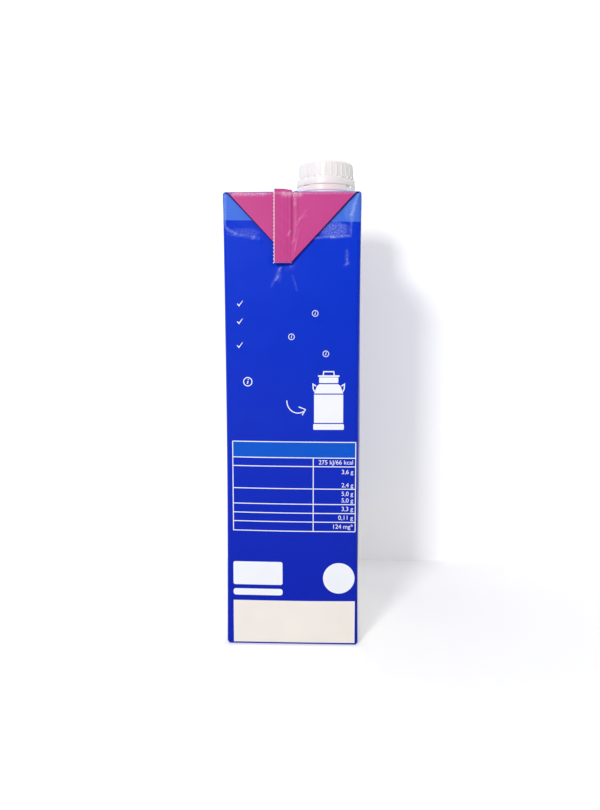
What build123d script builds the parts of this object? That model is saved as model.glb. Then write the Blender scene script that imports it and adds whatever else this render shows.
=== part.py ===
import os
from math import cos, radians, sin

from build123d import *

# A one-litre milk carton of the slim brick kind, full and shut, with a screw closure on top.
# Millimetres. +Z is up and the origin is the middle of the base. The closure stands towards +X,
# over the front panel, and the two narrow sides with the folded ears face -Y and +Y.
# The carton is one folded sheet and is one solid. The closure is three pieces stacked on it.

# Folded carton
carton_depth = 60.0  # X, from upright crease to upright crease at the rims
carton_width = 91.0  # Y, from upright crease to upright crease at the rims
carton_height = 202.0  # Z, from the table to the top panel
crease_radius = 1.6  # upright creases
rim_radius = 1.0  # creases round the top panel and round the base
wide_swell = 1.4  # how far the front and back panels swell past the rims at mid-height
side_swell = 0.2  # the same for the narrow side panels
waist = 0.7  # how far the upright creases draw in at mid-height
rim_bow = 0.15  # how far each panel bows at the rims

# Top ears: the sheet's corners, flattened and folded down flat on the narrow sides
ear_root = 0.9  # two boards thick at the crease
ear_tip = 2.0  # the tip springs a little off the side panel
ear_crease_radius = 0.8
ear_bite = 3.0  # how far an ear's solid reaches into the body

# Top fin: the sheet's sealed end, laid flat towards the back, over the top panel and both ears
fin_width = 7.6
fin_free = 1.3  # how far its free edge stands up
fin_root = 0.5  # and its folded edge
fin_past_tip = 0.3  # its cut end reaches just below the ear's tip
fin_crease_radius = 1.2

# Base: two ears folded in under the bottom panel, with the bottom fin between their tips
base_fold = 0.6
base_fin_width = 7.6
base_fin_recess = 0.25  # the bottom fin stays clear of the table

# Long seam of the sheet, an upright lap on the back panel
seam_width = 8.0
seam_step = 0.35
seam_inset = 11.0  # from the upright crease to the seam's nearer edge
seam_end_gap = 1.6  # from each rim

# Spout, glued on the top panel just clear of the fin
spout_radius = 14.2  # foot and lip
spout_fin_gap = 0.2
foot_height = 1.6
collar_radius = 13.7
collar_height = 8.8  # from the top panel to the top of the lip
lip_height = 2.6
neck_radius = 13.0
neck_rise = 4.2  # from the lip to the underside of the cap
window_count = 4
window_width = 3.4
window_height = 1.0
window_depth = 0.9
closure_turn = 5.0  # degrees that the closure was turned when it was put on

# Tamper band round the neck, on the lip
band_radius = 14.2
band_clearance = 0.05
band_height = 3.1
tab_width = 12.2  # the band rises in four tabs
tab_rise = 0.75

# Screw cap
cap_radius = 13.05
cap_height = 7.0
cap_edge_radius = 1.5
rib_count = 30
rib_radius = 0.55
rib_stand = 0.38  # how far a rib stands out
rib_top_gap = 1.3  # from a rib's end to the top of the cap
dish_radius = 10.4
dish_depth = 0.3

half_depth = carton_depth / 2
half_width = carton_width / 2
ear_height = half_depth  # the folds run at 45 degrees, so an ear is half as high as it is wide
closure_x = spout_fin_gap + spout_radius
cap_foot = collar_height + neck_rise


def bowed_rectangle(crease_x, crease_y, bow_x, bow_y):
    # A panel outline at one height: four arcs between the creases, with rounded creases
    with BuildSketch() as outline:
        with BuildLine():
            ThreePointArc((crease_x, -crease_y), (crease_x + bow_x, 0), (crease_x, crease_y))
            ThreePointArc((crease_x, crease_y), (0, crease_y + bow_y), (-crease_x, crease_y))
            ThreePointArc((-crease_x, crease_y), (-crease_x - bow_x, 0), (-crease_x, -crease_y))
            ThreePointArc((-crease_x, -crease_y), (0, -crease_y - bow_y), (crease_x, -crease_y))
        make_face()
        fillet(outline.vertices(), crease_radius)
    return outline.sketch


def filled_body(step):
    # The body swollen by its milk, with every panel moved out by step
    rim_x = half_depth - rim_bow + step
    rim_y = half_width - rim_bow + step
    waist_x = half_depth - waist + step
    waist_y = half_width - waist + step
    rim = bowed_rectangle(rim_x, rim_y, rim_bow, rim_bow)
    middle = bowed_rectangle(waist_x, waist_y, wide_swell + waist, side_swell + waist)
    with BuildPart() as body:
        with BuildSketch(Plane.XY.offset(base_fold)):
            add(rim)
        with BuildSketch(Plane.XY.offset((base_fold + carton_height) / 2)):
            add(middle)
        with BuildSketch(Plane.XY.offset(carton_height)):
            add(rim)
        loft()
    return body.part


def strap_outline(thickness):
    # The fin's side view: over the top panel and down both ears, with its inner side in the body
    end_z = carton_height - ear_height - fin_past_tip
    root_y = half_width + ear_root + thickness
    end_y = half_width + ear_tip + thickness
    inner_y = half_width - ear_bite
    corner = fin_crease_radius
    with BuildSketch() as outline:
        with BuildLine():
            FilletPolyline(
                (-inner_y, end_z),
                (-end_y, end_z),
                (-root_y, carton_height + thickness),
                (root_y, carton_height + thickness),
                (end_y, end_z),
                (inner_y, end_z),
                (inner_y, carton_height - ear_bite),
                (-inner_y, carton_height - ear_bite),
                radius=(0, 0, corner, corner, 0, 0, 0, 0),
                close=True,
            )
        make_face()
    return outline.sketch


# Ears, both from one pair of side views cut by the 45-degree folds
with BuildPart() as ears:
    for side in (-1, 1):
        with BuildSketch(Plane.YZ.offset(-half_depth)):
            with BuildLine():
                FilletPolyline(
                    (side * (half_width - ear_bite), carton_height),
                    (side * (half_width + ear_root), carton_height),
                    (side * (half_width + ear_tip), carton_height - ear_height),
                    (side * (half_width - ear_bite), carton_height - ear_height),
                    radius=(0, ear_crease_radius, 0, 0),
                    close=True,
                )
            make_face()
        extrude(amount=carton_depth)
    with BuildSketch(Plane.XZ):
        with BuildLine():
            Polyline(
                (-half_depth + rim_bow, carton_height),
                (half_depth - rim_bow, carton_height),
                (0, carton_height - ear_height + rim_bow),
                close=True,
            )
        make_face()
    extrude(amount=carton_width, both=True, mode=Mode.INTERSECT)

# Top fin, thicker towards its free edge
with BuildPart() as top_fin:
    with BuildSketch(Plane.YZ.offset(-fin_width)):
        add(strap_outline(fin_free))
    with BuildSketch(Plane.YZ):
        add(strap_outline(fin_root))
    loft(ruled=True)

# Long seam: the body grown by the lap's thickness, kept only where the lap lies
with BuildPart() as seam:
    add(filled_body(seam_step))
    seam_y = half_width - seam_inset - seam_width / 2
    with BuildSketch(Plane.XY.offset(base_fold + seam_end_gap)):
        with Locations((-half_depth, seam_y)):
            Rectangle(half_depth, seam_width)
    extrude(amount=carton_height - base_fold - 2 * seam_end_gap, mode=Mode.INTERSECT)

# Carton: the body, its folds and its seam are one sheet
with BuildPart() as carton:
    add(filled_body(0))
    rims = carton.faces().filter_by(GeomType.PLANE).sort_by(Axis.Z)
    fillet(rims[0].edges() + rims[-1].edges(), rim_radius)
    add(ears.part)
    add(top_fin.part)
    add(seam.part)
    for side in (-1, 1):
        crease_y = side * (half_width - rim_radius)
        with BuildSketch(Plane.XY):
            with BuildLine():
                Polyline(
                    (-half_depth + rim_radius, crease_y),
                    (half_depth - rim_radius, crease_y),
                    (0, crease_y - side * (ear_height - rim_radius)),
                    close=True,
                )
            make_face()
        extrude(amount=base_fold + rim_radius)
    with BuildSketch(Plane.XY.offset(base_fin_recess)):
        with Locations((base_fin_width / 2, 0)):
            Rectangle(base_fin_width, carton_width - carton_depth + base_fin_width)
    extrude(amount=base_fold + rim_radius)
carton.part.label = "carton"

# Every piece of the closure is drawn on planes turned with it
turn = radians(closure_turn)
closure_plane = Plane(origin=(closure_x, 0, carton_height), x_dir=(cos(turn), sin(turn), 0))

# Spout: foot, collar, lip with its windows, and the neck under the cap
with BuildPart() as spout:
    with BuildSketch(closure_plane):
        Circle(spout_radius)
    extrude(amount=foot_height)
    with BuildSketch(closure_plane.offset(foot_height)):
        Circle(collar_radius)
    extrude(amount=collar_height - foot_height - lip_height)
    with BuildSketch(closure_plane.offset(collar_height - lip_height)):
        Circle(spout_radius)
    extrude(amount=lip_height)
    with BuildSketch(closure_plane.offset(collar_height)):
        Circle(neck_radius)
    extrude(amount=neck_rise)
    with BuildSketch(closure_plane.offset(collar_height)):
        with PolarLocations(spout_radius, window_count, start_angle=180 / window_count):
            Rectangle(2 * window_depth, window_width)
    extrude(amount=-window_height, mode=Mode.SUBTRACT)
spout.part.label = "spout"

# Tamper band: a ring that stands on the lip, with four raised tabs
with BuildPart() as tamper_band:
    with BuildSketch(closure_plane.offset(collar_height)):
        Circle(band_radius)
        Circle(neck_radius + band_clearance, mode=Mode.SUBTRACT)
    extrude(amount=band_height)
    for angle in (0, 90):
        with BuildSketch(closure_plane.offset(collar_height + band_height)):
            Circle(band_radius)
            Circle(neck_radius + band_clearance, mode=Mode.SUBTRACT)
            Rectangle(2 * band_radius, tab_width, rotation=angle, mode=Mode.INTERSECT)
        extrude(amount=tab_rise)
tamper_band.part.label = "tamper_band"

# Cap: a ribbed skirt with a rounded edge and a shallow dish on top
with BuildPart() as cap:
    with BuildSketch(closure_plane.offset(cap_foot)):
        Circle(cap_radius)
    extrude(amount=cap_height)
    fillet(cap.faces().sort_by(Axis.Z)[-1].edges(), cap_edge_radius)
    with BuildSketch(closure_plane.offset(cap_foot)):
        with PolarLocations(cap_radius + rib_stand - rib_radius, rib_count):
            Circle(rib_radius)
    extrude(amount=cap_height - rib_top_gap)
    with BuildSketch(closure_plane.offset(cap_foot + cap_height)):
        Circle(dish_radius)
    extrude(amount=-dish_depth, mode=Mode.SUBTRACT)
cap.part.label = "cap"

os.makedirs("parts", exist_ok=True)
export_step(carton.part, "parts/carton.step")
export_step(spout.part, "parts/spout.step")
export_step(tamper_band.part, "parts/tamper_band.step")
export_step(cap.part, "parts/cap.step")
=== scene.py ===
import math

import bmesh
import bpy
import numpy as np
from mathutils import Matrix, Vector


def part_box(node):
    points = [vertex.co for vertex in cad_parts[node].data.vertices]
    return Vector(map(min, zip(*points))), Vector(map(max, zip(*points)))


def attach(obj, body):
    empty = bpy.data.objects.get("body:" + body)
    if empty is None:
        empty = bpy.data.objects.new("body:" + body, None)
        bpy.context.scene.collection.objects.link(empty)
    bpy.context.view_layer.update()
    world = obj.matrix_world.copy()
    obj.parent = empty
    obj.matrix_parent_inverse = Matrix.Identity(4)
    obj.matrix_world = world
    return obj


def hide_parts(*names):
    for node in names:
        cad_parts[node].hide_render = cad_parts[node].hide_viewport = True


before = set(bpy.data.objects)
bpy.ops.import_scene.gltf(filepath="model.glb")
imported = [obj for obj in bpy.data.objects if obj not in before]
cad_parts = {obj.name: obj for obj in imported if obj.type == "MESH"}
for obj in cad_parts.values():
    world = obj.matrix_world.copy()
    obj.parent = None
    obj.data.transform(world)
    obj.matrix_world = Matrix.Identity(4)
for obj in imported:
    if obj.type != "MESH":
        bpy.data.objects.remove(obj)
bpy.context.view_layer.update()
mm = 0.001  # every size below is in millimetres, and meshes are written in metres

spoutLow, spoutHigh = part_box("spout")
capLow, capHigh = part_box("cap")
bandLow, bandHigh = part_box("tamper_band")
topZ = spoutLow.z / mm  # the top panel carries the spout
closureX = (spoutLow.x + spoutHigh.x) / 2 / mm
closureY = (spoutLow.y + spoutHigh.y) / 2 / mm
print("frame loaded, top panel at", round(topZ, 2), "mm")

colours = {
    "deepBlue": "#0034cb",
    # the deep blue darkened near the bottom, as painted shade
    "shadedLowBlue": "#001fae",
    "lightBlue": "#416fda",
    "headerBlue": "#0054c9",
    "magenta": "#c2468a",
    "whiteInk": "#f4f6fc",
    "cream": "#f5eee6",
    "paperCore": "#f0e6e0",
    "polyethylene": "#fdfdfb",
}


def linear(hexText):
    # sRGB hex to the linear values that shaders take
    parts = [int(hexText[i:i + 2], 16) / 255 for i in (1, 3, 5)]
    return [c / 12.92 if c <= 0.04045 else ((c + 0.055) / 1.055) ** 2.4 for c in parts] + [1.0]


def addNode(tree, kind, inputs=None, **settings):
    # inputs maps a socket's name or number to a value, to another node's output, or to a node,
    # which stands for its first output. A kind with no family name is a shader node.
    family = "" if kind.startswith(("GeometryNode", "FunctionNode", "NodeGroup")) else "ShaderNode"
    node = tree.nodes.new(family + kind)
    for name, value in settings.items():
        setattr(node, name, value)
    for key, value in (inputs or {}).items():
        if isinstance(value, bpy.types.Node):
            value = value.outputs[0]
        if isinstance(value, bpy.types.NodeSocket):
            tree.links.new(value, node.inputs[key])
        else:
            node.inputs[key].default_value = value
    return node


def newMaterial(name):
    material = bpy.data.materials.new(name)
    material.use_nodes = True
    material.node_tree.nodes.clear()
    return material, material.node_tree


board = {
    "fibreMm": 0.9,  # the board's fibres just lift the film
    "fibreLift": 0.012,
    "rippleMm": 14.0,  # slow ripples that full cartons have
    "rippleLift": 0.05,
    "gloss": 0.30,
    "scuffAndSheenSpeckMm": 0.55,  # specks of rubbed film and of painted highlight
}


def printedBoardMaterial(name, upper, shadedLower=None, ink=1.0, rubbedAndHighlightTint="#b9c8f4"):
    # Liquid packaging board, offset printed and laminated with clear polyethylene: flat colour, darkened
    # towards the bottom as painted shade where a lower colour is given, under a soft, slightly uneven
    # shine, with fine fibre texture and specks lightened partly as rubbed film and partly as painted
    # highlight.
    material, tree = newMaterial(name)
    place = addNode(tree, "TexCoord").outputs["Object"]
    fibre = addNode(
        tree, "TexNoise", {"Vector": place, "Scale": 1 / (board["fibreMm"] * mm), "Detail": 3.0})
    ripple = addNode(
        tree, "TexNoise", {"Vector": place, "Scale": 1 / (board["rippleMm"] * mm), "Detail": 1.5})
    speck = addNode(
        tree, "TexNoise",
        {"Vector": place, "Scale": 1 / (board["scuffAndSheenSpeckMm"] * mm), "Detail": 4.0, "Roughness": 0.7})
    wearAndHighlight = addNode(tree, "Attribute", attribute_name="wearAndHighlight")
    speckMask = addNode(
        tree, "MapRange", {"Value": speck, "From Min": 0.42, "From Max": 0.72, "To Min": 0.12})
    rubbedAndSheen = addNode(tree, "Math", {0: speckMask, 1: wearAndHighlight.outputs["Fac"]}, operation="MULTIPLY")
    spot = addNode(tree, "SeparateXYZ", {"Vector": place})
    # painted shade: the colour darkens from the upper colour at 0.19 m height to the lower one at 0.03 m
    height = addNode(tree, "MapRange", {"Value": spot.outputs["Z"], "From Min": 0.03, "From Max": 0.19})
    colour = addNode(
        tree, "Mix", {"Factor": height, "A": linear(shadedLower or upper), "B": linear(upper)}, data_type="RGBA")
    blotch = addNode(tree, "MapRange", {"Value": ripple, "To Min": 0.955 * ink, "To Max": 1.045 * ink})
    toned = addNode(
        tree, "Mix", {"Factor": 1.0, "A": colour.outputs["Result"], "B": blotch}, data_type="RGBA",
        blend_type="MULTIPLY")
    # painted highlight and rubbed film: where the mask is high the colour is lightened towards the pale
    # tint
    hazeAndHighlight = addNode(
        tree, "Mix", {"Factor": rubbedAndSheen, "A": toned.outputs["Result"], "B": linear(rubbedAndHighlightTint)},
        data_type="RGBA")
    roughness = addNode(
        tree, "MapRange",
        {"Value": ripple, "To Min": board["gloss"] - 0.05, "To Max": board["gloss"] + 0.08})
    bumpFibre = addNode(
        tree, "Bump", {"Height": fibre, "Distance": board["fibreLift"] * mm, "Strength": 1.0})
    bumpRipple = addNode(
        tree, "Bump",
        {"Height": ripple, "Distance": board["rippleLift"] * mm, "Normal": bumpFibre, "Strength": 1.0})
    shader = addNode(tree, "BsdfPrincipled", {
        "Base Color": hazeAndHighlight.outputs["Result"], "Roughness": roughness, "Normal": bumpRipple,
        "IOR": 1.5, "Specular IOR Level": 0.1, "Coat Weight": 0.04, "Coat Roughness": 0.12})
    addNode(tree, "OutputMaterial", {"Surface": shader})
    return material


def paperCoreMaterial(name):
    # Bleached board cut through: matt, warm white, with the layers' fibres showing
    material, tree = newMaterial(name)
    place = addNode(tree, "TexCoord").outputs["Object"]
    fibre = addNode(tree, "TexNoise", {"Vector": place, "Scale": 1 / (0.4 * mm), "Detail": 5.0})
    colour = addNode(
        tree, "Mix", {"Factor": fibre, "A": linear("#d9b9c6"), "B": linear(colours["paperCore"])},
        data_type="RGBA")
    bump = addNode(tree, "Bump", {"Height": fibre, "Distance": 0.06 * mm, "Strength": 1.0})
    shader = addNode(
        tree, "BsdfPrincipled", {"Base Color": colour.outputs["Result"], "Roughness": 0.85, "Normal": bump},
    )
    addNode(tree, "OutputMaterial", {"Surface": shader})
    return material


def polyethyleneMaterial(name, tint, grainLift):
    # High-density polyethylene, injection moulded: milky, waxy white with a soft shine
    material, tree = newMaterial(name)
    place = addNode(tree, "TexCoord").outputs["Object"]
    grain = addNode(tree, "TexNoise", {"Vector": place, "Scale": 1 / (0.5 * mm), "Detail": 3.0})
    flow = addNode(tree, "TexNoise", {"Vector": place, "Scale": 1 / (9.0 * mm), "Detail": 1.0})
    colour = addNode(
        tree, "Mix", {"Factor": flow, "A": linear(tint), "B": linear(colours["polyethylene"])},
        data_type="RGBA")
    roughness = addNode(tree, "MapRange", {"Value": flow, "To Min": 0.32, "To Max": 0.44})
    bump = addNode(tree, "Bump", {"Height": grain, "Distance": grainLift * mm, "Strength": 1.0})
    shader = addNode(tree, "BsdfPrincipled", {
        "Base Color": colour.outputs["Result"], "Roughness": roughness, "Normal": bump, "IOR": 1.54,
        "Subsurface Weight": 0.25, "Subsurface Radius": (
            1.2 * mm, 1.1 * mm, 1.0 * mm), "Subsurface Scale": 1.0})
    addNode(tree, "OutputMaterial", {"Surface": shader})
    return material


blueBoard = printedBoardMaterial("laminatedBoardDeepBlue", colours["deepBlue"], colours["shadedLowBlue"])
lightBoard = printedBoardMaterial("laminatedBoardLightBlue", colours["lightBlue"])
# the pale pink tint stands for the painted highlight and the rubbed film on magenta
magentaBoard = printedBoardMaterial(
    "laminatedBoardMagenta", colours["magenta"], colours["magenta"], 1.0, "#fbe3ee")
# very dark blue for the ears' folded edges: the print of the ear's underside, darkened further as painted
# shadow along the fold
foldEdgeShadeBoard = printedBoardMaterial("laminatedBoardFoldEdgeShade", "#12105a", "#12105a")
whiteBoard = printedBoardMaterial("laminatedBoardWhiteInk", colours["whiteInk"], ink=0.97)
creamBoard = printedBoardMaterial("laminatedBoardUnprinted", colours["cream"], ink=0.97)
headerBoard = printedBoardMaterial("laminatedBoardMidBlue", colours["headerBlue"])
paperCore = paperCoreMaterial("cutPaperboardCore")
capPlastic = polyethyleneMaterial("mouldedPolyethyleneCap", "#fbfaf5", 0.01)
spoutPlastic = polyethyleneMaterial("mouldedPolyethyleneSpout", "#fafaf8", 0.006)
print("materials made")


def pieceFromMesh(name, points, faces, materials, faceSlots=None, smooth=True):
    # points in millimetres
    mesh = bpy.data.meshes.new(name)
    mesh.from_pydata([tuple(c * mm for c in p) for p in points], [], faces)
    for material in materials:
        mesh.materials.append(material)
    mesh.polygons.foreach_set("use_smooth", [smooth] * len(mesh.polygons))
    if faceSlots is not None:
        mesh.polygons.foreach_set("material_index", faceSlots)
    mesh.update()
    piece = bpy.data.objects.new(name, mesh)
    bpy.context.scene.collection.objects.link(piece)
    return piece


def loftRings(rings):
    # Closed rings of equal length, one after another, joined by quads and shut at both ends
    points = [p for ring in rings for p in ring]
    count = len(rings[0])
    faces = []
    for r in range(len(rings) - 1):
        for i in range(count):
            j = (i + 1) % count
            faces.append((r * count + i, r * count + j, (r + 1) * count + j, (r + 1) * count + i))
    faces.append(tuple(range(count - 1, -1, -1)))
    faces.append(tuple((len(rings) - 1) * count + i for i in range(count)))
    return points, faces


def addPart(points, faces, newPoints, newFaces):
    start = len(points)
    points += newPoints
    faces += [tuple(start + i for i in face) for face in newFaces]


def faceOutwards(piece):
    shape = bmesh.new()
    shape.from_mesh(piece.data)
    bmesh.ops.remove_doubles(shape, verts=shape.verts, dist=0.001 * mm)
    bmesh.ops.recalc_face_normals(shape, faces=shape.faces)
    shape.to_mesh(piece.data)
    shape.free()


def sharpen(piece, degrees):
    # Smooth shading with edges sharper than this kept crisp
    shape = bmesh.new()
    shape.from_mesh(piece.data)
    for edge in shape.edges:
        edge.smooth = len(edge.link_faces) != 2 or edge.calc_face_angle(0) < math.radians(degrees)
    shape.to_mesh(piece.data)
    shape.free()


def putOn(piece, slotName, *nodes):
    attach(piece, "root")
    if nodes:
        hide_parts(*nodes)
    return piece


carton = {
    "halfDepth": 30.0,
    "halfWidth": 45.5,
    "creaseRadius": 1.5,
    "rimRadius": 1.0,
    "rimBow": 0.15,
    "wideSwell": 1.25,  # front and back, past the rims
    "sideSwell": 0.15,
    "waist": 0.75,
    "baseZ": 0.35,
    "bandZ": 189.6,  # the light blue band's lower edge
    "bandTilt": 0.5,
    "across": 104,  # points across a narrow side, and along a wide one
    "along": 72,
    "cornerSteps": 7,
    "seamEdges": (26.2, 26.35, 26.5, 26.65, 26.8, 34.0, 34.6, 35.3, 36.1),
}

# Marks on the narrow side that faces -Y: start and end as (x, z), half-width and height.
# A negative height is a dent.
sideMarks = (
    ((-28.4, 188.2), (-17.5, 183.2), 1.0, -0.34),
    ((-27.5, 186.4), (-14.0, 181.0), 0.8, 0.16),
    ((8.0, 182.5), (23.0, 183.4), 0.45, 0.26),
    ((22.9, 183.4), (23.2, 187.5), 0.45, 0.2),
    ((28.3, 200.5), (25.8, 191.8), 0.5, 0.34),
    ((25.8, 191.8), (25.2, 184.0), 0.5, 0.16),
    ((-4.2, 170.2), (-8.6, 162.3), 0.4, 0.16),
    ((0.5, 166.0), (2.3, 160.0), 0.4, 0.12),
    ((23.6, 177.5), (23.8, 171.0), 0.5, 0.1),
    ((-6.5, 171.8), (-1.5, 171.8), 2.2, -0.4),
)
# Fine light lines along the creases, partly film rubbed dull and partly painted highlight where the crease
# catches the light: start and end as (x, z), half-width, strength
sideScratchesAndHighlights = (
    ((28.4, 200.6), (26.0, 192.4), 0.42, 0.8),
    ((26.0, 192.4), (25.2, 183.2), 0.4, 0.4),
    ((9.0, 182.3), (18.0, 183.0), 0.4, 0.55),
    ((17.0, 182.6), (24.6, 183.3), 0.45, 0.75),
    ((-28.3, 186.6), (-24.5, 184.3), 0.5, 0.45),
    ((-24.5, 184.3), (-14.5, 182.4), 0.7, 0.2),
    ((-28.7, 200.4), (-28.9, 187.5), 0.4, 0.6),
    ((-4.4, 170.0), (-6.4, 165.6), 0.3, 0.3),
    ((-6.0, 166.2), (-7.0, 164.8), 0.45, 0.8),
    ((-7.0, 164.8), (-8.8, 161.8), 0.3, 0.3),
    ((0.4, 166.2), (2.3, 160.0), 0.3, 0.25),
    ((23.7, 177.0), (23.8, 171.5), 0.4, 0.25),
    ((24.2, 171.6), (23.0, 170.9), 0.5, 0.5),
)
# Patches of lighter colour, partly film rubbed dull and partly a painted sheen on the wrinkles: centre (x,
# z), half sizes and strength
sideRubsAndSheen = (
    ((17.5, 186.0), (7.5, 3.8), 0.5),
    ((25.0, 194.0), (3.0, 5.5), 0.25),
    ((-21.0, 184.8), (8.0, 2.2), 0.2),
    ((-5.6, 166.5), (1.6, 3.2), 0.12),
    ((23.7, 174.5), (0.9, 3.4), 0.15),
)


def alongSegment(x, z, start, end):
    # Distance from a segment
    dx, dz = end[0] - start[0], end[1] - start[1]
    t = ((x - start[0]) * dx + (z - start[1]) * dz) / (dx * dx + dz * dz)
    t = min(1.0, max(0.0, t))
    return math.hypot(x - start[0] - t * dx, z - start[1] - t * dz)


def sideRelief(x, z, mirrored):
    # Small dents and creases of a narrow side; the other side's are turned round and weaker
    if mirrored:
        x = -x
    total = 0.05 * math.sin(x / 7.3 + z / 23.0) + 0.05 * math.sin(z / 17.0 - x / 11.0)
    for start, end, halfWide, height in sideMarks:
        d = alongSegment(x, z, start, end) / halfWide
        if d < 3:
            total += height * math.exp(-d * d)
    return total * (0.7 if mirrored else 1.0)


def alongLineMarks(x, z, scratches):
    return sum(s * math.exp(-((alongSegment(x, z, a, b) / wide) ** 2)) for a, b, wide, s in scratches)


def sideWearAndHighlight(x, z):
    total = 0.0
    for centre, half, strength in sideRubsAndSheen:
        d = math.hypot((x - centre[0]) / half[0], (z - centre[1]) / half[1])
        total += strength * max(0.0, 1.0 - d ** 4)
    return min(1.0, total + alongLineMarks(x, z, sideScratchesAndHighlights))


def wideRelief(y, z, side):
    # Front and back: slow buckles, and the creases that run in from the corners
    total = 0.08 * math.sin(y / 13.0 + side + z / 31.0) + 0.06 * math.sin(z / 19.0 - y / 17.0 + 2 * side)
    for cornerY in (-1, 1):
        d = alongSegment(y, z, (cornerY * 44.5, 199.0), (cornerY * 37.0, 186.0 - 2 * side)) / 0.8
        if d < 3:
            total += 0.16 * math.exp(-d * d)
    if side < 0:
        # the long seam's lap
        seamNear, seamFar = 34.5, 26.5
        lap = smoothStep(seamFar - 0.15, seamFar + 0.15, y)
        lap *= 1 - smoothStep(seamNear - 0.4, seamNear + 1.6, y)
        total += 0.30 * lap
    return total


def smoothStep(low, high, value):
    t = min(1.0, max(0.0, (value - low) / (high - low)))
    return t * t * (3 - 2 * t)


def section(z):
    # Crease positions and bows at one height
    middle = (topZ + carton["baseZ"]) / 2
    s = 1 - ((z - middle) / (topZ - middle)) ** 2
    pull = (carton["waist"] - carton["rimBow"]) * s
    creaseX = carton["halfDepth"] - carton["rimBow"] - pull
    creaseY = carton["halfWidth"] - carton["rimBow"] - pull
    bowX = carton["rimBow"] + (carton["wideSwell"] + carton["waist"] - carton["rimBow"]) * s
    bowY = carton["rimBow"] + (carton["sideSwell"] + carton["waist"] - carton["rimBow"]) * s
    return creaseX, creaseY, bowX, bowY


def onPanel(panel, a, b, lift):
    # The place on a panel that lies a across it and b up it (on the top, b is along it)
    if panel == "top":
        return (a, b, topZ + lift)
    creaseX, creaseY, bowX, bowY = section(b)
    if panel in ("near", "far"):
        half, out, bow, relief = creaseX, creaseY, bowY, sideRelief(a, b, panel == "far")
    else:
        half, out, bow, relief = creaseY, creaseX, bowX, wideRelief(a, b, 1 if panel == "front" else -1)
    u = max(-1.0, min(1.0, a / half))
    out += bow * (1 - u * u) + relief * smoothStep(0, 3, half - abs(a)) + lift
    return {"near": (a, -out, b), "far": (a, out, b), "front": (out, a, b), "back": (-out, a, b)}[panel]


def seamStations(half, along):
    # Even steps across the back panel, with more at the edges of the long seam
    even = [-half + 2 * half * i / (along - 1) for i in range(along)]
    return sorted(even + list(carton["seamEdges"]), reverse=True)


def shellRing(z, inset):
    # One ring round the body, anticlockwise from above
    creaseX, creaseY, bowX, bowY = section(z)
    r = max(0.35, carton["creaseRadius"] - inset)
    cx, cy = creaseX - inset, creaseY - inset
    fade = max(0.0, 1 - inset / carton["rimRadius"])
    ring = []
    corner = carton["cornerSteps"]
    across, along = carton["across"], carton["along"]
    stations = seamStations(carton["halfWidth"] - 2.0, along)
    for quarter in range(4):
        narrow = quarter % 2 == 0
        half = (cx if narrow else cy) - r
        count = across if narrow else along
        if quarter == 3:
            count = along + len(carton["seamEdges"])
        sign = -1 if quarter in (0, 3) else 1
        for i in range(count):
            v = -half + 2 * half * i / (count - 1)
            if quarter == 3:
                v = stations[i]
                if abs(v) >= 40:
                    v = v * half / (carton["halfWidth"] - 2.0)
            elif quarter == 2:
                v = -v
            edge = smoothStep(0, 3, half + r - abs(v))
            if narrow:
                u = v / cx
                out = cy + bowY * (1 - u * u) + fade * edge * sideRelief(v, z, sign > 0)
                ring.append((v, sign * out, z))
            else:
                u = v / cy
                out = cx + bowX * (1 - u * u) + fade * edge * wideRelief(v, z, sign)
                ring.append((sign * out, v, z))
        cornerX = (1, 1, -1, -1)[quarter] * (cx - r)
        cornerY = (-1, 1, 1, -1)[quarter] * (cy - r)
        for i in range(1, corner):
            angle = math.radians(-90 + 90 * quarter + 90 * i / corner)
            ring.append((cornerX + r * math.cos(angle), cornerY + r * math.sin(angle), z))
    return ring


def setWearAndHighlight(piece, wearAt):
    # Stored on the points, and read by the printed board's material, which lightens the colour there:
    # partly rubbed film, partly painted highlight
    wearAndHighlight = piece.data.attributes.new("wearAndHighlight", "FLOAT", "POINT")
    wearAndHighlight.data.foreach_set("value", [wearAt(v.co / mm) for v in piece.data.vertices])


def shellWearAndHighlight(p):
    # The near side as its lists say, and the upright creases of the far side a little, where the lighter
    # colour is a painted highlight along the creases
    if p.y < -carton["halfWidth"] + 2:
        return sideWearAndHighlight(p.x, p.z)
    return 0.25 * smoothStep(1.4, 0.2, carton["halfDepth"] - abs(p.x)) if abs(p.y) > 43 else 0.0


def makeShell():
    base, rim = carton["baseZ"], carton["rimRadius"]
    arc = [math.radians(a) for a in (0, 22.5, 45, 67.5, 90)]
    levels = [(base + rim * (1 - math.sin(a)), rim * (1 - math.cos(a))) for a in reversed(arc)]
    low = list(np.arange(base + rim + 1.5, 150.0, 2.0))
    high = list(np.linspace(150.4, carton["bandZ"], 84))
    band = list(np.linspace(carton["bandZ"], topZ - rim, 27))[1:-1]
    levels += [(z, 0.0) for z in low + high + band]
    levels += [(topZ - rim * (1 - math.sin(a)), rim * (1 - math.cos(a))) for a in arc]
    rings = []
    for z, inset in levels:
        ring = shellRing(z, inset)
        lean = carton["bandTilt"] * math.exp(-(((z - carton["bandZ"]) / 5) ** 2))
        rings.append([(x, y, h - lean * x / carton["halfDepth"]) for x, y, h in ring])
    points, faces = loftRings(rings)
    count = len(rings[0])
    slots = []
    for r in range(len(rings) - 1):
        light = (levels[r][0] + levels[r + 1][0]) / 2 > carton["bandZ"]
        slots += [1 if light else 0] * count
    slots += [0, 1]
    shell = pieceFromMesh("cartonShell", points, faces, [blueBoard, lightBoard], slots)
    shell.data.polygons[-1].use_smooth = False
    shell.data.polygons[-2].use_smooth = False
    setWearAndHighlight(shell, shellWearAndHighlight)
    return putOn(shell, "printed_paperboard", "carton")


shell = makeShell()
print("shell made,", len(shell.data.polygons), "faces")


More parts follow.
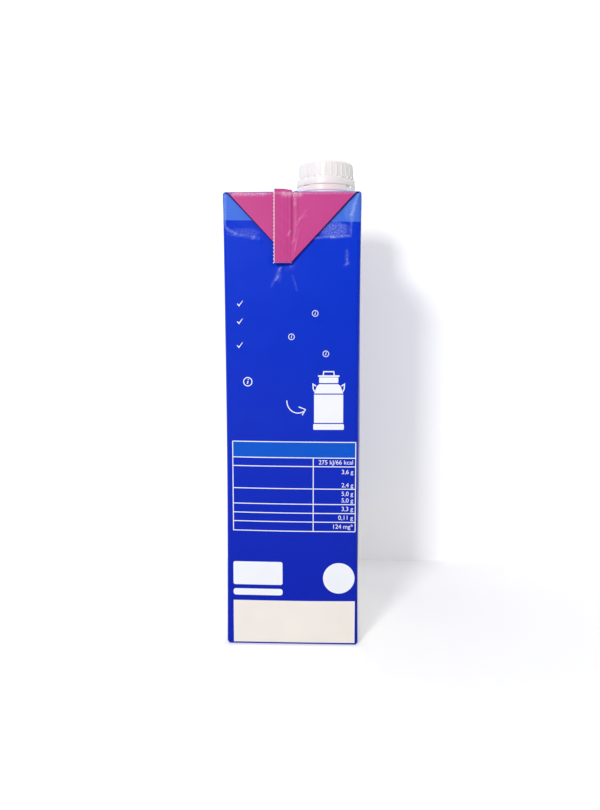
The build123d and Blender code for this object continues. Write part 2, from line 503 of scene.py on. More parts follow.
ear = {
    "height": carton["halfDepth"],
    "root": 0.85,  # outer face past the crease line, at the crease
    "tip": 2.0,
    "thick": 0.85,  # two boards
    "creaseRadius": 1.1,
    "sink": 0.28,  # how far the whole ear is pressed in
    "narrowing": 0.955,  # the folds lie a little inside the crease's ends
    "rows": 90,
    "bendRows": 8,  # the last of them, round the crease
    "columns": 97,
}


def earOut(z):
    # The ear's outer face, past the narrow side's crease line
    t = (topZ - z) / ear["height"]
    return ear["root"] + (ear["tip"] - ear["root"]) * t * t * (1.6 - 0.6 * t)


def earRelief(x, z, w):
    # Pillowed wings, the groove at the fin's root and the ridge beside it
    t = (topZ - z) / ear["height"]
    pillow = 0.22 * (1 - min(1.0, abs(x) / max(w, 0.5)) ** 4)
    pressed = smoothStep(179.0, 186.0, z)
    groove = -0.22 * pressed * math.exp(-(((x - 0.55) / 0.35) ** 2))
    ridge = 0.36 * pressed * math.exp(-(((x - 1.75) / 0.62) ** 2)) * (0.6 + 0.4 * math.cos(t * 4.5))
    fold = 0.12 * math.exp(-((alongSegment(x, z, (2.2, 188.0), (6.8, 193.5)) / 0.7) ** 2))
    fork = 0.10 * math.exp(-((alongSegment(x, z, (1.6, 176.5), (3.4, 185.5)) / 0.5) ** 2))
    return pillow + groove + ridge + fold + fork - ear["sink"]


# Lighter places on the -Y ear and fin, partly rubbed film and partly painted highlight along the top crease
# and folds: start and end as (x, z), half-width, strength
earScratchesAndHighlights = (
    ((-25.0, 200.9), (-12.0, 201.0), 0.8, 0.75),
    ((-12.0, 201.0), (27.0, 201.2), 0.5, 0.4),
    ((-3.6, 200.6), (3.4, 200.6), 0.9, 0.8),
    ((1.9, 199.5), (1.6, 184.5), 0.5, 0.16),
    ((1.3, 200.0), (1.2, 196.0), 0.35, 0.5),
    ((2.2, 187.5), (3.4, 190.2), 0.35, 0.25),
    ((3.4, 190.2), (6.4, 191.8), 0.35, 0.16),
    ((-1.6, 183.4), (-0.6, 185.0), 0.35, 0.55),
    ((0.9, 181.5), (2.2, 186.5), 0.3, 0.05),
    ((-0.3, 180.0), (1.4, 181.4), 0.3, 0.3),
)


def earWearAndHighlight(p):
    return min(1.0, alongLineMarks(p.x, p.z, earScratchesAndHighlights)) * (1.0 if p.y < 0 else 0.5)


def makeEars():
    points, faces, slots = [], [], []
    turn, straight = ear["creaseRadius"], ear["rows"] - ear["bendRows"]
    for sign in (-1, 1):
        rings = []
        for k in range(ear["rows"] + 1):
            # even steps up the ear, then round the crease
            if k <= straight:
                z = topZ - ear["height"] + 0.45 + (ear["height"] - 0.45 - turn) * k / straight
                bend = 0.0
            else:
                bend = math.radians(90) * (k - straight) / ear["bendRows"]
                z = topZ - turn
            w = (z - (topZ - ear["height"]) + turn * math.sin(bend)) * ear["narrowing"]
            out = earOut(z)
            level = min(1.0, w / 3)
            ring = []
            half = ear["thick"] / 2
            flat = w - half * 0.6  # where the folded edge's half round starts
            for layer in (1, -1):
                for i in range(ear["columns"]):
                    x = flat * (-1 + 2 * i / (ear["columns"] - 1)) * layer
                    lift = -ear["thick"] - ear["sink"] * level
                    if layer > 0:
                        lift = earRelief(-sign * x, z, w) * level
                    ring.append((x, lift))
                for a in (45, 0, -45):
                    angle = math.radians(a)
                    lift = -half - ear["sink"] * level + layer * half * math.sin(angle)
                    ring.append((layer * (flat + half * 0.6 * math.cos(angle)), lift))
            placed = []
            for x, lift in ring:
                if bend == 0:
                    y, h = carton["halfWidth"] + out + lift, z
                else:
                    reach = turn + lift
                    centreY = carton["halfWidth"] + out - turn
                    y, h = centreY + reach * math.cos(bend), z + reach * math.sin(bend) - 0.03 * bend
                placed.append((x, sign * y, h))
            rings.append(placed)
        newPoints, newFaces = loftRings(rings)
        addPart(points, faces, newPoints, newFaces)
        # past the fold the top panel's light blue shows, but for a short stretch of magenta
        for face in newFaces:
            middle = sum(newPoints[i][0] for i in face) / len(face)
            past = min(face) >= (ear["rows"] - 5) * len(rings[0])
            blue = past and not -24.2 < middle < -20.7
            around = [i % len(rings[0]) % (ear["columns"] + 3) for i in face]
            least, most = min(around), max(around)
            # faces along both folded edges take the dark blue of the painted shadow along the fold
            atEdge = least >= ear["columns"] - 2 or most <= 1 or least == 0 and most > 50
            foldEdgeShaded = len(face) == 4 and atEdge
            slots.append(2 if foldEdgeShaded else 1 if blue else 0)
    ears = pieceFromMesh("foldedEars", points, faces, [magentaBoard, lightBoard, foldEdgeShadeBoard], slots)
    faceOutwards(ears)
    setWearAndHighlight(ears, earWearAndHighlight)
    return putOn(ears, "printed_paperboard")


ears = makeEars()


fin = {
    "width": 7.6,
    "thick": 0.85,
    "free": 1.22,  # outer face over the surface it lies on, at the free edge
    "root": 0.72,
    "flush": 0.12,
    "pastTip": 0.3,
    "creaseRadius": 1.9,
    "toothPitch": 1.55,  # the knife's zigzag
    "toothDepth": 0.34,
}


def finPath():
    # Stations along the strap: base point (y, z) and outward direction, from the -Y ear's tip
    # over the top panel to the +Y ear's tip
    stations = []
    lowZ = topZ - ear["height"] - fin["pastTip"]
    turn = ear["creaseRadius"]
    rise = [lowZ + (topZ - turn - lowZ) * i / 60 for i in range(61)]
    for z in rise:
        stations.append((-(carton["halfWidth"] + earOut(max(z, topZ - ear["height"])) - 0.12), z, 0.0))
    centreY = -(carton["halfWidth"] + earOut(topZ) - turn)
    for i in range(1, ear["bendRows"] + 1):
        bend = math.radians(90) * i / ear["bendRows"]
        y, z = centreY - (turn - 0.08) * math.cos(bend), topZ - turn + turn * math.sin(bend)
        stations.append((y, z, bend))
    half = list(stations)
    across = np.linspace(centreY, -centreY, 41)[1:-1]
    stations += [(y, topZ, math.radians(90)) for y in across]
    stations += [(-y, z, math.radians(180) - bend) for y, z, bend in reversed(half)]
    return stations


def finSection(z):
    # (x, height) round the strap, from the free edge's outer corner: two boards whose root lies
    # flush with the ear near its tip and stands clear of it higher up
    width, thick = fin["width"], fin["thick"]
    foot = fin["flush"] + (fin["root"] - fin["flush"]) * smoothStep(178.0, 187.0, z)
    outer = []
    for i in range(25):
        x = -width + (width - 0.5) * i / 24
        t = (x + width) / width
        height = fin["free"] + (foot - fin["free"]) * t * (0.4 + 0.6 * t)
        height -= 0.10 * math.exp(-(((x + 1.35) / 0.3) ** 2))
        height += 0.04 * math.exp(-(((x + 3.6) / 0.5) ** 2))
        outer.append((x, height))
    root, inner = [], []
    for a in range(15, 180, 15):
        angle = math.radians(a)
        root.append((-0.5 + 0.62 * math.sin(angle), foot - 0.5 + 0.5 * math.cos(angle) - 0.1 * a / 180))
    for i in range(13):
        inner.append((-0.6 - (width - 0.6) * i / 12, -0.3 + (fin["free"] - thick + 0.3) * i / 12))
    return outer + root + inner


def makeFin():
    rings = []
    stations = finPath()
    count = len(finSection(0))
    for index, (y, z, bend) in enumerate(stations):
        outY, outZ = -math.cos(bend), math.sin(bend)
        ring = []
        for x, height in finSection(z):
            flex = 0.05 * math.sin(index * 0.55 + x) * smoothStep(0, 4, x + fin["width"])
            ring.append((x, y + outY * (height + flex), z + outZ * (height + flex)))
        rings.append(ring)
    points, faces = loftRings(rings)
    # the free edge is the last side of the section, and both ends are cut too
    slots = []
    for _ in range(len(rings) - 1):
        slots += [1 if i in (0, count - 1) else 0 for i in range(count)]
    slots += [1, 1]
    strap = pieceFromMesh("topFin", points, faces, [magentaBoard, paperCore], slots)
    sharpen(strap, 40)
    setWearAndHighlight(strap, earWearAndHighlight)
    return putOn(strap, "printed_paperboard")


strap = makeFin()


def nodeGroup(name, labels):
    # An empty Geometry Nodes tree with a geometry in and out and named number inputs
    tree = bpy.data.node_groups.new(name, "GeometryNodeTree")
    tree.interface.new_socket("Geometry", in_out="INPUT", socket_type="NodeSocketGeometry")
    for label in labels:
        tree.interface.new_socket(label, in_out="INPUT", socket_type="NodeSocketFloat")
    tree.interface.new_socket("Geometry", in_out="OUTPUT", socket_type="NodeSocketGeometry")
    return tree, addNode(tree, "NodeGroupInput"), addNode(tree, "NodeGroupOutput")


def bakeNodes(name, carrier, tree, shape, material, result, values):
    # Ends the tree, runs it on the carrier's mesh and keeps the plain mesh that comes out
    real = addNode(tree, "GeometryNodeRealizeInstances", {"Geometry": shape})
    painted = addNode(tree, "GeometryNodeSetMaterial", {"Geometry": real, "Material": material})
    tree.links.new(painted.outputs[0], result.inputs[0])
    modifier = carrier.modifiers.new(name, "NODES")
    modifier.node_group = tree
    for item in tree.interface.items_tree:
        if item.in_out == "INPUT" and item.name in values:
            modifier[item.identifier] = values[item.name]
    bpy.context.view_layer.update()
    graph = bpy.context.evaluated_depsgraph_get()
    mesh = bpy.data.meshes.new_from_object(carrier.evaluated_get(graph))
    carrier.modifiers.remove(modifier)
    bpy.data.objects.remove(carrier)
    mesh.name = name
    piece = bpy.data.objects.new(name, mesh)
    bpy.context.scene.collection.objects.link(piece)
    return piece


def makeFinTeeth():
    # The zigzag of the cut edge: small wedges set along the free edge
    line = []
    for y, z, bend in finPath():
        outY, outZ = -math.cos(bend), math.sin(bend)
        height = fin["free"] - fin["thick"] / 2
        line.append((-fin["width"] + 0.02, y + outY * height, z + outZ * height))
    carrier = pieceFromMesh("finEdgeLine", line, [], [])
    carrier.data.edges.add(len(line) - 1)
    carrier.data.edges.foreach_set("vertices", [v for i in range(len(line) - 1) for v in (i, i + 1)])
    tree, given, result = nodeGroup("zigzagEdge", ("Pitch", "Depth"))
    curve = addNode(tree, "GeometryNodeMeshToCurve", {"Mesh": given.outputs["Geometry"]})
    spaced = addNode(
        tree, "GeometryNodeResampleCurve", {"Curve": curve, "Length": given.outputs["Pitch"]},
        mode="LENGTH")
    pitch, depth = given.outputs["Pitch"], given.outputs["Depth"]
    cone = {"Vertices": 4, "Radius Top": depth, "Radius Bottom": pitch, "Depth": depth}
    tooth = addNode(tree, "GeometryNodeMeshCone", cone)
    tangent = addNode(tree, "GeometryNodeInputTangent")
    facing = addNode(tree, "FunctionNodeAlignRotationToVector", {"Vector": tangent}, axis="X")
    scaled = addNode(tree, "CombineXYZ", {"X": 0.36, "Y": 0.26, "Z": 1.0})
    quarter = addNode(
        tree, "GeometryNodeTransform",
        {"Geometry": tooth.outputs["Mesh"], "Rotation": (0.0, 0.0, math.radians(45))})
    shaped = addNode(tree, "GeometryNodeTransform", {"Geometry": quarter, "Scale": scaled})
    laid = addNode(
        tree, "GeometryNodeInstanceOnPoints", {"Points": spaced, "Instance": shaped, "Rotation": facing})
    sizes = {"Pitch": fin["toothPitch"] * mm, "Depth": fin["toothDepth"] * mm}
    return putOn(
        bakeNodes("finCutEdge", carrier, tree, laid, paperCore, result, sizes), "printed_paperboard")


print("ears and fin made")


closure = {
    "turn": 5.0,
    "foot": (spoutHigh.x - spoutLow.x) / 2 / mm,
    "collar": 13.7,
    "lipLow": 6.2,
    "lipTop": (bandLow.z - spoutLow.z) / mm,
    "neck": 13.0,
    "capFoot": (capLow.z - spoutLow.z) / mm,
    "capTop": (capHigh.z - spoutLow.z) / mm,
    "capRadius": 13.05,
    "ribCount": 30,
    "ribStand": 0.24,
    "bandTop": (bandHigh.z - spoutLow.z) / mm,
    "tabRise": 0.75,
    "tabHalf": 25.5,  # degrees each side of a tab's middle
    "windowHalf": 7.0,
    "bridges": 24,
}


def onCircle(radius, angle, height):
    return (closureX + radius * math.cos(angle), closureY + radius * math.sin(angle), topZ + height)


def lathe(name, profileAt, steps, material):
    # profileAt(degrees) gives (radius, height) from the outer foot up and over to the axis
    points, faces = [], []
    size = len(profileAt(0))
    for s in range(steps):
        degrees = 360 * s / steps
        angle = math.radians(degrees + closure["turn"])
        for radius, height in profileAt(degrees):
            points.append(onCircle(radius, angle, height))
    for s in range(steps):
        n = (s + 1) % steps
        for k in range(size - 1):
            faces.append((s * size + k, n * size + k, n * size + k + 1, s * size + k + 1))
    faces.append(tuple(s * size for s in range(steps - 1, -1, -1)))
    faces.append(tuple(s * size + size - 1 for s in range(steps)))
    piece = pieceFromMesh(name, points, faces, [material])
    faceOutwards(piece)
    sharpen(piece, 35)
    return piece


def fromQuarter(degrees, count, offset):
    # Degrees from the nearest of count evenly spaced places
    step = 360 / count
    return abs((degrees - offset + step / 2) % step - step / 2)


def capProfile(degrees):
    foot, top, radius = closure["capFoot"], closure["capTop"], closure["capRadius"]
    edge = 1.5
    rows = [
        (radius - 0.25, foot), (radius + 0.02, foot + 0.12), (radius, foot + 0.5),
        (radius - 0.05, top - edge)]
    for a in range(10, 91, 10):
        angle = math.radians(a)
        rows.append((radius - edge + (edge - 0.05) * math.cos(angle), top - edge + edge * math.sin(angle)))
    rows += [
        (10.9, top), (10.5, top - 0.08), (10.3, top - 0.28), (9.9, top - 0.3), (1.2, top - 0.3),
        (1.0, top - 0.22), (0.6, top - 0.2)]
    return rows


def bandProfile(degrees):
    # The ring steps up in four tabs
    away = fromQuarter(degrees, 4, 0)
    drop = closure["tabRise"] * smoothStep(closure["tabHalf"] - 1.2, closure["tabHalf"] + 1.2, away)
    low, radius, neck = closure["lipTop"] + 0.12, closure["foot"], closure["neck"]
    top = closure["bandTop"] - drop
    waist = 0.12
    return [
        (radius - 0.3, low), (radius - 0.06, low + 0.1), (radius, low + 0.45), (radius - waist, low + 1.6),
        (radius - 0.22, top - 0.5), (radius - 0.4, top - 0.12), (radius - 0.6, top), (neck + 0.1, top),
        (neck - 0.2, top - 0.3)]


def spoutProfile(degrees):
    # A window is a short stretch where the lip's top edge is cut back
    away = fromQuarter(degrees, 4, 45)
    cut = 0.85 * (1 - smoothStep(closure["windowHalf"] - 0.5, closure["windowHalf"] + 0.5, away))
    foot, collar, lip, top = closure["foot"], closure["collar"], closure["lipLow"], closure["lipTop"]
    neck, end = closure["neck"], closure["capFoot"]
    rows = [
        (foot - 0.1, 0.0), (foot, 0.15), (foot, 1.2), (foot - 0.15, 1.5), (collar, 1.65),
        (collar, lip - 0.35), (foot - 0.2, lip - 0.05), (foot, lip + 0.2), (foot, top - 1.05)]
    rows += [
        (foot - cut, top - 1.0), (foot - cut, top - 0.2), (foot - cut - 0.15, top), (neck + 0.1, top),
        (neck, top + 0.15), (neck, end + 0.2), (neck - 0.5, end + 0.3)]
    return rows


def makeRibs(name, count, radius, height, size, roundness, material):
    # One rounded bar on each point of a circle, turned to face outwards
    turn = math.radians(closure["turn"])
    line = [onCircle(radius, 2 * math.pi * i / count + turn, height) for i in range(count)]
    carrier = pieceFromMesh(name + "Places", line, [], [])
    tree, given, result = nodeGroup(name + "Tree", ("Wide", "Tall", "Stand", "Axis X", "Axis Y"))
    cylinder = {"Vertices": 14, "Side Segments": 3, "Radius": 0.5, "Depth": 1.0}
    bar = addNode(tree, "GeometryNodeMeshCylinder", cylinder)
    place = addNode(tree, "GeometryNodeInputPosition")
    axis = addNode(tree, "CombineXYZ", {"X": given.outputs["Axis X"], "Y": given.outputs["Axis Y"]})
    outward = addNode(tree, "VectorMath", {0: place, 1: axis}, operation="SUBTRACT")
    flat = addNode(tree, "VectorMath", {0: outward, 1: (1.0, 1.0, 0.0)}, operation="MULTIPLY")
    facing = addNode(tree, "FunctionNodeAlignRotationToVector", {"Vector": flat}, axis="X")
    # taper the bar's top so that it runs out on the cap's edge
    barPlace = addNode(tree, "GeometryNodeInputPosition")
    split = addNode(tree, "SeparateXYZ", {"Vector": barPlace})
    taper = addNode(
        tree, "MapRange",
        {"Value": split.outputs["Z"], "From Min": 0.3, "From Max": 0.5, "To Min": 1.0, "To Max": roundness},
    )
    thin = addNode(tree, "Math", {0: split.outputs["X"], 1: taper}, operation="MULTIPLY")
    moved = addNode(tree, "CombineXYZ", {"X": thin, "Y": split.outputs["Y"], "Z": split.outputs["Z"]})
    tapered = addNode(
        tree, "GeometryNodeSetPosition", {"Geometry": bar.outputs["Mesh"], "Position": moved})
    scale = addNode(
        tree, "CombineXYZ",
        {"X": given.outputs["Stand"], "Y": given.outputs["Wide"], "Z": given.outputs["Tall"]})
    laid = addNode(
        tree, "GeometryNodeInstanceOnPoints",
        {"Points": given.outputs["Geometry"], "Instance": tapered, "Rotation": facing, "Scale": scale})
    smooth = addNode(tree, "GeometryNodeSetShadeSmooth", {"Geometry": laid})
    sizes = dict(
        zip(("Stand", "Wide", "Tall", "Axis X", "Axis Y"), [c * mm for c in size + (closureX, closureY)]))
    piece = bakeNodes(name, carrier, tree, smooth, material, result, sizes)
    piece.data.polygons.foreach_set("use_smooth", [True] * len(piece.data.polygons))
    sharpen(piece, 50)
    return piece


capBody = putOn(lathe("capBody", capProfile, 192, capPlastic), "cap_polyethylene", "cap")
bandRing = putOn(lathe("tamperRing", bandProfile, 288, capPlastic), "cap_polyethylene", "tamper_band")
spoutBody = putOn(lathe("spoutBody", spoutProfile, 288, spoutPlastic), "spout_polyethylene", "spout")
ribTall = closure["capTop"] - closure["capFoot"] - 1.2
ribs = makeRibs(
    "capRibs", closure["ribCount"], closure["capRadius"] - 0.2, closure["capFoot"] + 0.1 + ribTall / 2,
    (2 * (closure["ribStand"] + 0.2), 1.15, ribTall), 0.35, capPlastic)
putOn(ribs, "cap_polyethylene")
bridgeTall = closure["capFoot"] - closure["bandTop"] + 0.5
bridges = makeRibs(
    "tamperBridges", closure["bridges"], closure["neck"] + 0.32,
    (closure["capFoot"] + closure["bandTop"]) / 2, (0.7, 0.5, bridgeTall), 1.0, capPlastic)
putOn(bridges, "cap_polyethylene")
teeth = makeFinTeeth()
print("closure made")


def makeBaseFolds():
    # Two ears folded in under the bottom panel, and the bottom fin between their tips
    reach = carton["halfDepth"] - carton["rimRadius"]
    edge = carton["halfWidth"] - carton["rimRadius"]
    tip, half, top = edge - reach + 0.6, edge - reach + 3, 0.5
    ears = [(-reach, -edge), (reach, -edge), (0.8, -tip), (-0.8, -tip)]
    plates = [(ears, 0.0), ([(x, -y) for x, y in ears[::-1]], 0.0)]
    plates.append(([(0.4, -half), (7.6, -half), (7.6, half), (0.4, half)], 0.2))
    points, faces = [], []
    for outline, low in plates:
        middle = [sum(p[k] for p in outline) / len(outline) for k in (0, 1)]
        shrunk = [(x + (middle[0] - x) * 0.009, y + (middle[1] - y) * 0.009, low) for x, y in outline]
        rings = [shrunk] + [[(x, y, z) for x, y in outline] for z in (low + 0.12, top)]
        addPart(points, faces, *loftRings(rings))
    folds = pieceFromMesh("baseFolds", points, faces, [blueBoard], smooth=False)
    faceOutwards(folds)
    return putOn(folds, "printed_paperboard")


baseFolds = makeBaseFolds()


printLift = 0.035  # ink and film are far thinner, but the print must not sink into the panel
cutStep = 2.0  # large fields are cut this fine so that they follow the panel


def layOnPanel(name, points, faces, material, panel, lift):
    # On the back and the far side the two directions run the other way round
    if panel in ("back", "far"):
        faces = [face[::-1] for face in faces]
    piece = pieceFromMesh(name, [onPanel(panel, a, b, lift) for a, b in points], faces, [material])
    return putOn(piece, "printed_paperboard")


def fillShapes(name, outlines, material, panel, lift=printLift, step=cutStep, extraCuts=()):
    # Flat outlines in the panel's own two directions, filled, cut fine and laid on the panel
    shape = bmesh.new()
    for outline in outlines:
        shape.faces.new([shape.verts.new((a, b, 0)) for a, b in outline])
    low = [min(p[k] for o in outlines for p in o) for k in (0, 1)]
    high = [max(p[k] for o in outlines for p in o) for k in (0, 1)]
    for k in (0, 1):
        cuts = list(np.arange(low[k] + step, high[k] - 0.2, step))
        if k == 0:
            cuts += [c for c in extraCuts if low[k] < c < high[k]]
        for cut in cuts:
            where = (cut, 0, 0) if k == 0 else (0, cut, 0)
            direction = (1, 0, 0) if k == 0 else (0, 1, 0)
            bmesh.ops.bisect_plane(
                shape, geom=shape.verts[:] + shape.edges[:] + shape.faces[:], plane_co=where,
                plane_no=direction)
    bmesh.ops.triangulate(shape, faces=shape.faces)
    points = [v.co.xy[:] for v in shape.verts]
    shape.verts.index_update()
    faces = [tuple(v.index for v in f.verts) for f in shape.faces]
    shape.free()
    return layOnPanel(name, points, faces, material, panel, lift)


def rectangle(x0, z0, x1, z1, radius=0.0, tilt=0.0):
    # Anticlockwise, with rounded corners; tilt is the rise from x0 to x1
    if radius == 0:
        outline = [(x0, z0), (x1, z0), (x1, z1), (x0, z1)]
    else:
        outline = []
        left, right, low, high = x0 + radius, x1 - radius, z0 + radius, z1 - radius
        for cx, cz, start in ((right, low, -90), (right, high, 0), (left, high, 90), (left, low, 180)):
            outline += arcRoute(cx, cz, radius, radius, start, start + 90, 6)
    return [(x, z + tilt * (x - x0) / (x1 - x0)) for x, z in outline]


def arcRoute(cx, cz, rx, rz, start, end, steps):
    angles = [math.radians(start + (end - start) * i / steps) for i in range(steps + 1)]
    return [(cx + rx * math.cos(a), cz + rz * math.sin(a)) for a in angles]


def disc(cx, cz, radius, steps=48):
    return arcRoute(cx, cz, radius, radius, 0, 360, steps)[:-1]


def stroke(route, width):
    # An open line of even width as one outline
    left, right = [], []
    for i, (x, z) in enumerate(route):
        before = Vector(route[i]) - Vector(route[i - 1]) if i else Vector(route[1]) - Vector(route[0])
        after = Vector(route[i + 1]) - Vector(route[i]) if i < len(route) - 1 else before
        before.normalize()
        after.normalize()
        mean = (before + after).normalized()
        side = Vector((-mean.y, mean.x)) * width / 2 / max(0.35, mean.dot(after))
        left.append((x + side.x, z + side.y))
        right.append((x - side.x, z - side.y))
    return right + left[::-1]


def ringStroke(cx, cz, radius, width, steps=40):
    # A ring as quads, so that its middle stays open
    inner, outer = [
        arcRoute(cx, cz, r, r, 0, 360, steps) for r in (radius - width / 2, radius + width / 2)]
    return [[inner[i], outer[i], outer[i + 1], inner[i + 1]] for i in range(steps)]


def infoSign(cx, cz, radius, width):
    # A letter i in a ring
    outlines = ringStroke(cx, cz, radius, width)
    lean = 0.12 * radius
    stem = [(cx - lean, cz - 0.5 * radius), (cx + lean * 0.6, cz + 0.18 * radius)]
    outlines.append(stroke(stem, width * 1.15))
    outlines.append(disc(cx + lean, cz + 0.5 * radius, width * 0.62, 12))
    return outlines


def tickSign(x, z, size):
    # Drawn with a pen: a short down stroke and a long up stroke that thins out
    corners = ((0.36, 0), (1, 0.95), (0.95, 1), (0.34, 0.27), (0.1, 0.52), (0, 0.42))
    return [(x + a * size, z + b * size) for a, b in corners]


def churnShapes(cx, low, height):
    # A milk churn in outline, drawn 26 high: foot, body, shoulder, neck, brim and three handles
    shapes = [
        rectangle(-6.75, 0, 6.75, 2.6, 0.5),
        rectangle(-6.4, 3.1, 6.4, 15.6),
        [(-6.4, 16.1), (6.4, 16.1), (5.2, 19.3), (4.2, 20.2), (-4.2, 20.2), (-5.2, 19.3)],
        rectangle(-4.2, 20.7, 4.2, 23.2, 0.3),
        rectangle(-4.7, 23.4, 4.7, 24.1, 0.3),
        stroke([(-2.4, 24.1), (-2.2, 25.7), (2.2, 25.7), (2.4, 24.1)], 0.5),
    ]
    for sign in (-1, 1):
        handle = [(5.6, 19.4), (6.9, 20.2), (6.8, 18.2), (6.2, 16.9)][::-sign]
        shapes.append(stroke([(sign * x, z) for x, z in handle], 0.5))
    unit = height / 26
    return [[(cx + x * unit, low + z * unit) for x, z in shape] for shape in shapes]


# Places on the narrow side, as x from its middle and z from the table
label = {
    "ticks": ((-24.0, 153.2), (-24.1, 145.5), (-24.2, 135.1)),
    "tickSize": 2.6,
    "infoSmall": ((10.1, 150.2), (-0.2, 140.1), (14.8, 132.7)),
    "infoLarge": (-19.5, 120.4),
    "arrowArc": (2.6, 112.0, 4.9, 5.4, 178, 300),
    "arrowHead": ((2.9, 109.4), (5.9, 108.2), (4.5, 105.7)),
    "arrowLine": 0.42,
    "churn": (16.1, 99.2, 26.0),
    "table": (-26.5, 53.4, 28.2, 93.9),
    "tableTilt": -0.35,
    "header": 86.8,
    "rows": (82.9, 72.8, 65.8, 61.7, 57.7),
    "divider": 9.4,
    "line": 0.38,
    "figureEnd": 27.2,
    "figureSize": 2.75,
    "plate": (-26.7, 28.2, -4.4, 38.9),
    "pill": (-26.7, 23.3, -4.4, 26.3),
    "roundel": (21.0, 31.5, 7.1),
    "panel": (-26.75, 1.2, 28.3, 20.8),
}
values = (
    (84.5, "275 kJ/66 kcal"),
    (80.2, "3,6 g"),
    (74.2, "2,4 g"),
    (70.3, "5,0 g"),
    (67.3, "5,0 g"),
    (63.4, "3,3 g"),
    (59.4, "0,11 g"),
    (55.3, "124 mg*"),
)


def textOn(name, entries, size, material, panel, weight=0.0):
    # Plain figures in the built-in typeface, set to end at a place: (first, second, words)
    mirror = -1 if panel in ("back", "far") else 1
    points, faces = [], []
    for first, second, words in entries:
        curve = bpy.data.curves.new(name, "FONT")
        curve.body = words
        curve.size = size
        curve.offset = weight
        curve.align_x = "RIGHT"
        curve.align_y = "CENTER"
        holder = bpy.data.objects.new(name, curve)
        bpy.context.scene.collection.objects.link(holder)
        bpy.context.view_layer.update()
        mesh = bpy.data.meshes.new_from_object(holder.evaluated_get(bpy.context.evaluated_depsgraph_get()))
        places = [(first + v.co.x * mirror, second + v.co.y) for v in mesh.vertices]
        addPart(points, faces, places, [tuple(p.vertices)[::mirror] for p in mesh.polygons])
        bpy.data.objects.remove(holder)
        bpy.data.meshes.remove(mesh)
    return layOnPanel(name, points, faces, material, panel, printLift + 0.01)


def makeSidePrint():
    signs = [tickSign(x, z, label["tickSize"]) for x, z in label["ticks"]]
    for x, z in label["infoSmall"]:
        signs += infoSign(x, z, 1.25, 0.28)
    signs += infoSign(*label["infoLarge"], 1.85, 0.4)
    signs.append(stroke(arcRoute(*label["arrowArc"], 16), label["arrowLine"]))
    signs.append(stroke(label["arrowHead"], label["arrowLine"]))
    fillShapes("signPrint", signs, whiteBoard, "near")
    fillShapes("churnPrint", churnShapes(*label["churn"]), whiteBoard, "near")
    x0, z0, x1, z1 = label["table"]
    tilt, line = label["tableTilt"], label["line"]
    header = rectangle(x0, label["header"], x1, z1, 0, tilt)
    fillShapes("tableHeader", [header], headerBoard, "near", printLift * 0.6)
    heights = (z0, label["header"], z1) + label["rows"]
    lines = [rectangle(x0, z - line / 2, x1, z + line / 2, 0, tilt) for z in heights]
    fillShapes("tableLines", lines, whiteBoard, "near")
    uprights = []
    for x, top in ((x0, z1), (x1, z1), (label["divider"], label["header"])):
        rise = tilt * (x - x0) / (x1 - x0)
        uprights.append(rectangle(x - line / 2, z0 - line / 2, x + line / 2, top + rise))
    fillShapes("tableUprights", uprights, whiteBoard, "near", printLift + 0.004)
    figures = [(label["figureEnd"], z, words) for z, words in values]
    textOn("tableFigures", figures, label["figureSize"], whiteBoard, "near")
    plates = [rectangle(*label["plate"], 0.9), rectangle(*label["pill"], 1.1)]
    fillShapes("platePrint", plates, whiteBoard, "near")
    fillShapes("roundelPrint", [disc(*label["roundel"], 64)], whiteBoard, "near")
    fillShapes("panelPrint", [rectangle(*label["panel"])], creamBoard, "near")


makeSidePrint()

# Front, back and the far side: a pale wave at the foot, a churn, and the volume in plain figures
plain = {
    "panels": (
        ("front", "front", 43.0, 62.0), ("back", "back", 43.0, 62.0), ("farSide", "far", 27.6, 44.0)),
    "waveFoot": 2.2,
    "waveMiddle": 40.0,
    "waveSwing": 0.2,  # of the panel's half width
    "ribbon": (2.2, 4.0),  # above the wave
    "volumeInset": 7.0,
    "volumeHeight": 14.0,
    "volumeSize": 17.0,
    "volumeWeight": 0.35,
    "churnFoot": 88.0,
    "step": 1.0,
    "topField": (-3.0, -44.2, 28.9, 44.2, 0.6),
}


def waveOutline(half, low, middle, swing):
    # A field that fills the panel's foot and ends in a slow wave
    top = []
    for i in range(49):
        wave = math.sin(-0.6 + 2.6 * math.pi * i / 48) * (0.5 + i / 96)
        top.append((-half + 2 * half * i / 48, middle + swing * wave))
    return [(-half, low), (half, low)] + top[::-1]


def makePlainPrint():
    step = plain["step"]
    for name, panel, half, churnTall in plain["panels"]:
        wave = waveOutline(half, plain["waveFoot"], plain["waveMiddle"], plain["waveSwing"] * half)
        seam = carton["seamEdges"] if panel == "back" else ()
        fillShapes(name + "Wave", [wave], creamBoard, panel, step=step, extraCuts=seam)
        low, high = plain["ribbon"]
        edge = [(a, b + low) for a, b in wave[2:]] + [(a, b + high) for a, b in wave[:1:-1]]
        fillShapes(name + "Ribbon", [edge[::-1]], lightBoard, panel, step=step, extraCuts=seam)
        end = (half - plain["volumeInset"]) * (1 if panel == "front" else -1)
        volume = [(end, plain["volumeHeight"], "1 L")]
        textOn(name + "Volume", volume, plain["volumeSize"], blueBoard, panel, plain["volumeWeight"])
        fillShapes(name + "Churn", churnShapes(0.0, plain["churnFoot"], churnTall), whiteBoard, panel)


makePlainPrint()
fillShapes("topFieldMagenta", [rectangle(*plain["topField"])], magentaBoard, "top", 0.02)
print("print made")

studio = {
    "fill": 0.44,
    "key": 8.9,
    "keySize": 0.2,
    "keyPlace": (-0.42, -1.15, 0.62),
    "wall": 78.0,
    "glow": 0.33,
}


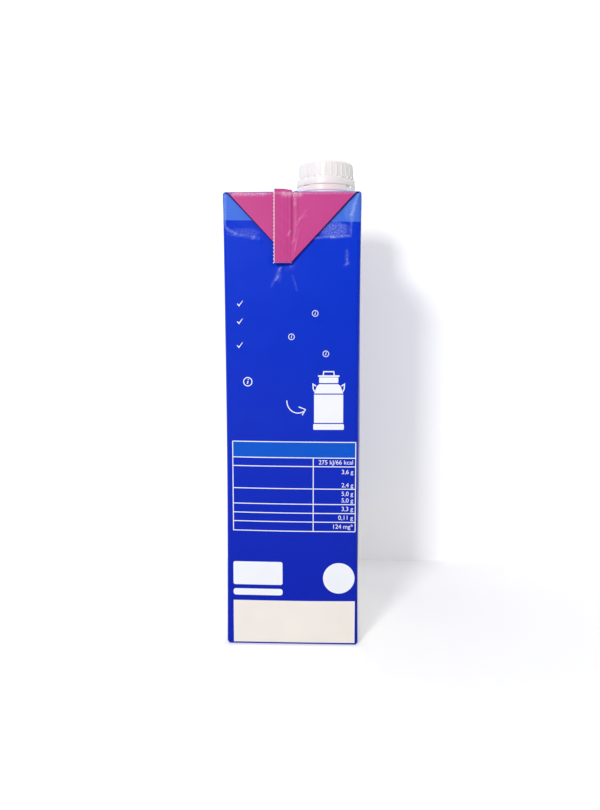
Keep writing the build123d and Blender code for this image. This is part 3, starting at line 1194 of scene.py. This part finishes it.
def makeFloor():
    material, tree = newMaterial("paintedFloor")
    grey = addNode(tree, "BsdfDiffuse", {"Color": linear("#f4f4f4")})
    glow = addNode(tree, "Emission", {"Color": (1, 1, 1, 1), "Strength": studio["glow"]})
    path = addNode(tree, "LightPath")
    seen = path.outputs["Is Camera Ray"]
    for ray in ("Is Glossy Ray", "Is Transmission Ray"):
        seen = addNode(tree, "Math", {0: seen, 1: path.outputs[ray]}, operation="MAXIMUM")
    both = addNode(tree, "AddShader", {0: grey, 1: glow})
    mix = addNode(tree, "MixShader", {0: seen, 1: grey, 2: both})
    # seen from behind, both are clear, so that no view is blocked
    side = addNode(tree, "NewGeometry")
    clear = addNode(tree, "BsdfTransparent")
    oneSided = addNode(tree, "MixShader", {0: side.outputs["Backfacing"], 1: mix, 2: clear})
    addNode(tree, "OutputMaterial", {"Surface": oneSided})
    size, low, back = 4000, -0.02, studio["wall"]
    front = [(-size, -size, low), (size, -size, low)]
    joint = [(-size, back, low), (size, back, low)]
    high = [(size, back, size), (-size, back, size)]
    floor = pieceFromMesh("floor", front + joint[::-1], [(0, 1, 2, 3)], [material])
    wall = pieceFromMesh("backdrop", joint + high, [(0, 1, 2, 3)], [material])


makeFloor()

world = bpy.data.worlds.new("studio")
bpy.context.scene.world = world
world.use_nodes = True
sky = world.node_tree
sky.nodes.clear()
path = addNode(sky, "LightPath")
seenSky = addNode(
    sky, "Math", {0: path.outputs["Is Camera Ray"], 1: path.outputs["Is Transmission Ray"]},
    operation="MAXIMUM")
strength = addNode(sky, "MapRange", {"Value": seenSky, "To Min": studio["fill"], "To Max": 1.0})
background = addNode(sky, "Background", {"Color": (1, 1, 1, 1), "Strength": strength})
addNode(sky, "OutputWorld", {"Surface": background})

key = bpy.data.lights.new("key", "AREA")
key.energy = studio["key"]
key.size = studio["keySize"]
keyObject = bpy.data.objects.new("key", key)
keyObject.location = studio["keyPlace"]
keyObject.rotation_mode = "QUATERNION"
keyObject.rotation_quaternion = (Vector((0, 0, 0.1)) - keyObject.location).to_track_quat("-Z", "Y")
bpy.context.scene.collection.objects.link(keyObject)

# The camera stands a little right of the narrow side's middle and looks slightly down
shot = {"place": (15.43, -369.14, 146.0), "yaw": -2.11, "pitch": 6.31, "roll": -0.1, "lens": 32.89}
yaw, pitch = math.radians(shot["yaw"]), math.radians(shot["pitch"])
cameraData = bpy.data.cameras.new("camera")
cameraData.lens = shot["lens"]
cameraData.sensor_width = 36
cameraData.clip_start = 0.01
camera = bpy.data.objects.new("camera", cameraData)
camera.location = [c * mm for c in shot["place"]]
forward = Vector((math.sin(yaw) * math.cos(pitch), math.cos(yaw) * math.cos(pitch), -math.sin(pitch)))
camera.rotation_mode = "QUATERNION"
camera.rotation_quaternion = forward.to_track_quat("-Z", "Y")
bpy.context.scene.collection.objects.link(camera)
bpy.context.scene.camera = camera
bpy.context.scene.view_settings.view_transform = "Standard"
print("stage, light and camera made")
